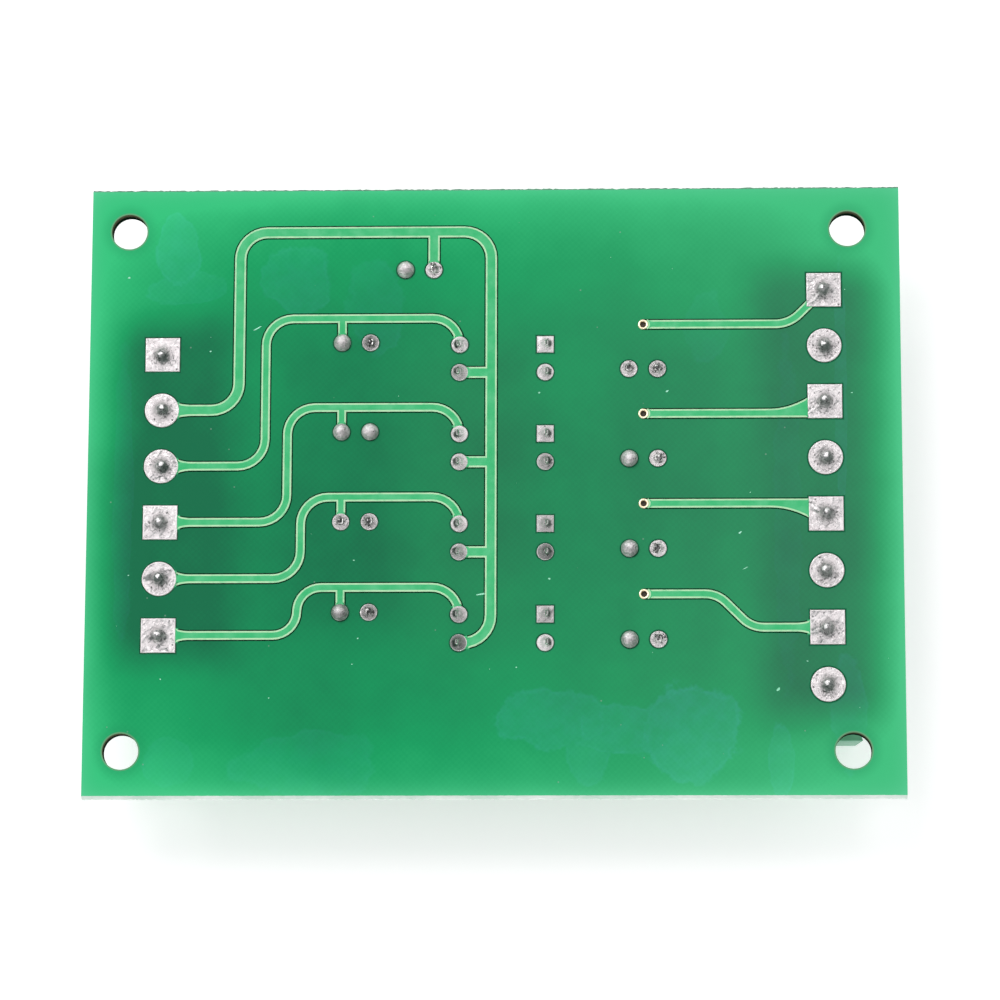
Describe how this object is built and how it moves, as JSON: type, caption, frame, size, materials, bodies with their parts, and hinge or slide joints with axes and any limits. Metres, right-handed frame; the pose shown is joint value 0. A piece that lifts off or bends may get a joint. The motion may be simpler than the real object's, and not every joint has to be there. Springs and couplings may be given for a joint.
{
  "type": "optocoupler isolator module",
  "caption": "Green circuit board with screw terminal blocks along both short sides, optocouplers, indicator lamps and chip resistors, lying solder side up.",
  "frame": {"origin": "centre of the board's footprint, on the surface that the terminal tops rest on", "axes": "+X along the board's length towards the input terminals, +Y along its depth, +Z out of the solder side"},
  "size_m": [0.0724, 0.0552, 0.0137],
  "materials": {
    "solder_mask": "green solder mask on glass-fibre laminate, satin gloss",
    "masked_copper": "green solder mask over copper track, satin gloss",
    "tinned_pad": "tinned copper, satin",
    "bare_copper": "bare plated copper",
    "solder": "tin solder, bright and uneven",
    "terminal_housing": "moulded green polyamide",
    "plated_strip": "tin-plated strip",
    "plated_screw": "zinc-plated steel",
    "leaf_brass": "plated spring brass",
    "coupler_body": "black moulding compound",
    "tinned_lead": "tinned lead, satin",
    "lamp_resin": "red diffused resin",
    "chip_ceramic": "black glaze on ceramic with tinned ends"
  },
  "bodies": {
    "module": {"circuit_board": "solder_mask", "solder_side_tracks": "masked_copper", "component_side_tracks": "masked_copper", "component_side_pads": "tinned_pad", "vias": "bare_copper", "terminal_solder_joints": "solder", "coupler_solder_joints": "solder", "lamp_solder_joints": "solder", "input_terminal_1": "terminal_housing", "input_terminal_2": "terminal_housing", "input_terminal_3": "terminal_housing", "input_terminal_4": "terminal_housing", "output_terminal_1": "terminal_housing", "output_terminal_2": "terminal_housing", "output_terminal_3": "terminal_housing", "input_contact_frames": "plated_strip", "output_contact_frames": "plated_strip", "optocoupler_1": "coupler_body", "optocoupler_leads_1": "tinned_lead", "optocoupler_2": "coupler_body", "optocoupler_leads_2": "tinned_lead", "optocoupler_3": "coupler_body", "optocoupler_leads_3": "tinned_lead", "optocoupler_4": "coupler_body", "optocoupler_leads_4": "tinned_lead", "input_lamps": "lamp_resin", "output_lamps": "lamp_resin", "power_lamp": "lamp_resin", "lamp_leads": "tinned_lead", "input_resistors": "chip_ceramic", "output_resistors": "chip_ceramic"},
    "input_leaf_1": {"input_wire_leaf_1": "leaf_brass"},
    "input_screw_1": {"input_screw_1": "plated_screw"},
    "input_leaf_2": {"input_wire_leaf_2": "leaf_brass"},
    "input_screw_2": {"input_screw_2": "plated_screw"},
    "input_leaf_3": {"input_wire_leaf_3": "leaf_brass"},
    "input_screw_3": {"input_screw_3": "plated_screw"},
    "input_leaf_4": {"input_wire_leaf_4": "leaf_brass"},
    "input_screw_4": {"input_screw_4": "plated_screw"},
    "input_leaf_5": {"input_wire_leaf_5": "leaf_brass"},
    "input_screw_5": {"input_screw_5": "plated_screw"},
    "input_leaf_6": {"input_wire_leaf_6": "leaf_brass"},
    "input_screw_6": {"input_screw_6": "plated_screw"},
    "input_leaf_7": {"input_wire_leaf_7": "leaf_brass"},
    "input_screw_7": {"input_screw_7": "plated_screw"},
    "input_leaf_8": {"input_wire_leaf_8": "leaf_brass"},
    "input_screw_8": {"input_screw_8": "plated_screw"},
    "output_leaf_1": {"output_wire_leaf_1": "leaf_brass"},
    "output_screw_1": {"output_screw_1": "plated_screw"},
    "output_leaf_2": {"output_wire_leaf_2": "leaf_brass"},
    "output_screw_2": {"output_screw_2": "plated_screw"},
    "output_leaf_3": {"output_wire_leaf_3": "leaf_brass"},
    "output_screw_3": {"output_screw_3": "plated_screw"},
    "output_leaf_4": {"output_wire_leaf_4": "leaf_brass"},
    "output_screw_4": {"output_screw_4": "plated_screw"},
    "output_leaf_5": {"output_wire_leaf_5": "leaf_brass"},
    "output_screw_5": {"output_screw_5": "plated_screw"},
    "output_leaf_6": {"output_wire_leaf_6": "leaf_brass"},
    "output_screw_6": {"output_screw_6": "plated_screw"}
  },
  "joints": [
    {"name": "input_leaf_travel_1", "type": "slide", "parent": "module", "child": "input_leaf_1", "axis": [0, 0, 1], "range_m": [0, 0.0024]},
    {"name": "input_screw_turn_1", "type": "hinge", "parent": "input_leaf_1", "child": "input_screw_1", "pos_m": [0.0294, 0.01799, 0.00125], "axis": [0, 0, 1], "range_deg": [0, 1728]},
    {"name": "input_leaf_travel_2", "type": "slide", "parent": "module", "child": "input_leaf_2", "axis": [0, 0, 1], "range_m": [0, 0.0024]},
    {"name": "input_screw_turn_2", "type": "hinge", "parent": "input_leaf_2", "child": "input_screw_2", "pos_m": [0.0294, 0.01291, 0.00125], "axis": [0, 0, 1], "range_deg": [0, 1728]},
    {"name": "input_leaf_travel_3", "type": "slide", "parent": "module", "child": "input_leaf_3", "axis": [0, 0, 1], "range_m": [0, 0.0024]},
    {"name": "input_screw_turn_3", "type": "hinge", "parent": "input_leaf_3", "child": "input_screw_3", "pos_m": [0.0294, 0.00783, 0.00125], "axis": [0, 0, 1], "range_deg": [0, 1728]},
    {"name": "input_leaf_travel_4", "type": "slide", "parent": "module", "child": "input_leaf_4", "axis": [0, 0, 1], "range_m": [0, 0.0024]},
    {"name": "input_screw_turn_4", "type": "hinge", "parent": "input_leaf_4", "child": "input_screw_4", "pos_m": [0.0294, 0.00275, 0.00125], "axis": [0, 0, 1], "range_deg": [0, 1728]},
    {"name": "input_leaf_travel_5", "type": "slide", "parent": "module", "child": "input_leaf_5", "axis": [0, 0, 1], "range_m": [0, 0.0024]},
    {"name": "input_screw_turn_5", "type": "hinge", "parent": "input_leaf_5", "child": "input_screw_5", "pos_m": [0.0294, -0.00233, 0.00125], "axis": [0, 0, 1], "range_deg": [0, 1728]},
    {"name": "input_leaf_travel_6", "type": "slide", "parent": "module", "child": "input_leaf_6", "axis": [0, 0, 1], "range_m": [0, 0.0024]},
    {"name": "input_screw_turn_6", "type": "hinge", "parent": "input_leaf_6", "child": "input_screw_6", "pos_m": [0.0294, -0.00741, 0.00125], "axis": [0, 0, 1], "range_deg": [0, 1728]},
    {"name": "input_leaf_travel_7", "type": "slide", "parent": "module", "child": "input_leaf_7", "axis": [0, 0, 1], "range_m": [0, 0.0024]},
    {"name": "input_screw_turn_7", "type": "hinge", "parent": "input_leaf_7", "child": "input_screw_7", "pos_m": [0.0294, -0.01249, 0.00125], "axis": [0, 0, 1], "range_deg": [0, 1728]},
    {"name": "input_leaf_travel_8", "type": "slide", "parent": "module", "child": "input_leaf_8", "axis": [0, 0, 1], "range_m": [0, 0.0024]},
    {"name": "input_screw_turn_8", "type": "hinge", "parent": "input_leaf_8", "child": "input_screw_8", "pos_m": [0.0294, -0.01757, 0.00125], "axis": [0, 0, 1], "range_deg": [0, 1728]},
    {"name": "output_leaf_travel_1", "type": "slide", "parent": "module", "child": "output_leaf_1", "axis": [0, 0, 1], "range_m": [0, 0.0024]},
    {"name": "output_screw_turn_1", "type": "hinge", "parent": "output_leaf_1", "child": "output_screw_1", "pos_m": [-0.02966, 0.01229, 0.00125], "axis": [0, 0, 1], "range_deg": [0, 1728]},
    {"name": "output_leaf_travel_2", "type": "slide", "parent": "module", "child": "output_leaf_2", "axis": [0, 0, 1], "range_m": [0, 0.0024]},
    {"name": "output_screw_turn_2", "type": "hinge", "parent": "output_leaf_2", "child": "output_screw_2", "pos_m": [-0.02966, 0.00721, 0.00125], "axis": [0, 0, 1], "range_deg": [0, 1728]},
    {"name": "output_leaf_travel_3", "type": "slide", "parent": "module", "child": "output_leaf_3", "axis": [0, 0, 1], "range_m": [0, 0.0024]},
    {"name": "output_screw_turn_3", "type": "hinge", "parent": "output_leaf_3", "child": "output_screw_3", "pos_m": [-0.02966, 0.00213, 0.00125], "axis": [0, 0, 1], "range_deg": [0, 1728]},
    {"name": "output_leaf_travel_4", "type": "slide", "parent": "module", "child": "output_leaf_4", "axis": [0, 0, 1], "range_m": [0, 0.0024]},
    {"name": "output_screw_turn_4", "type": "hinge", "parent": "output_leaf_4", "child": "output_screw_4", "pos_m": [-0.02966, -0.00295, 0.00125], "axis": [0, 0, 1], "range_deg": [0, 1728]},
    {"name": "output_leaf_travel_5", "type": "slide", "parent": "module", "child": "output_leaf_5", "axis": [0, 0, 1], "range_m": [0, 0.0024]},
    {"name": "output_screw_turn_5", "type": "hinge", "parent": "output_leaf_5", "child": "output_screw_5", "pos_m": [-0.02966, -0.00803, 0.00125], "axis": [0, 0, 1], "range_deg": [0, 1728]},
    {"name": "output_leaf_travel_6", "type": "slide", "parent": "module", "child": "output_leaf_6", "axis": [0, 0, 1], "range_m": [0, 0.0024]},
    {"name": "output_screw_turn_6", "type": "hinge", "parent": "output_leaf_6", "child": "output_screw_6", "pos_m": [-0.02966, -0.01311, 0.00125], "axis": [0, 0, 1], "range_deg": [0, 1728]}
  ],
  "couplings": [
    {"joint": "input_screw_turn_1", "follows": "input_leaf_travel_1", "rad_per_m": 12566},
    {"joint": "input_screw_turn_2", "follows": "input_leaf_travel_2", "rad_per_m": 12566},
    {"joint": "input_screw_turn_3", "follows": "input_leaf_travel_3", "rad_per_m": 12566},
    {"joint": "input_screw_turn_4", "follows": "input_leaf_travel_4", "rad_per_m": 12566},
    {"joint": "input_screw_turn_5", "follows": "input_leaf_travel_5", "rad_per_m": 12566},
    {"joint": "input_screw_turn_6", "follows": "input_leaf_travel_6", "rad_per_m": 12566},
    {"joint": "input_screw_turn_7", "follows": "input_leaf_travel_7", "rad_per_m": 12566},
    {"joint": "input_screw_turn_8", "follows": "input_leaf_travel_8", "rad_per_m": 12566},
    {"joint": "output_screw_turn_1", "follows": "output_leaf_travel_1", "rad_per_m": 12566},
    {"joint": "output_screw_turn_2", "follows": "output_leaf_travel_2", "rad_per_m": 12566},
    {"joint": "output_screw_turn_3", "follows": "output_leaf_travel_3", "rad_per_m": 12566},
    {"joint": "output_screw_turn_4", "follows": "output_leaf_travel_4", "rad_per_m": 12566},
    {"joint": "output_screw_turn_5", "follows": "output_leaf_travel_5", "rad_per_m": 12566},
    {"joint": "output_screw_turn_6", "follows": "output_leaf_travel_6", "rad_per_m": 12566}
  ]
}
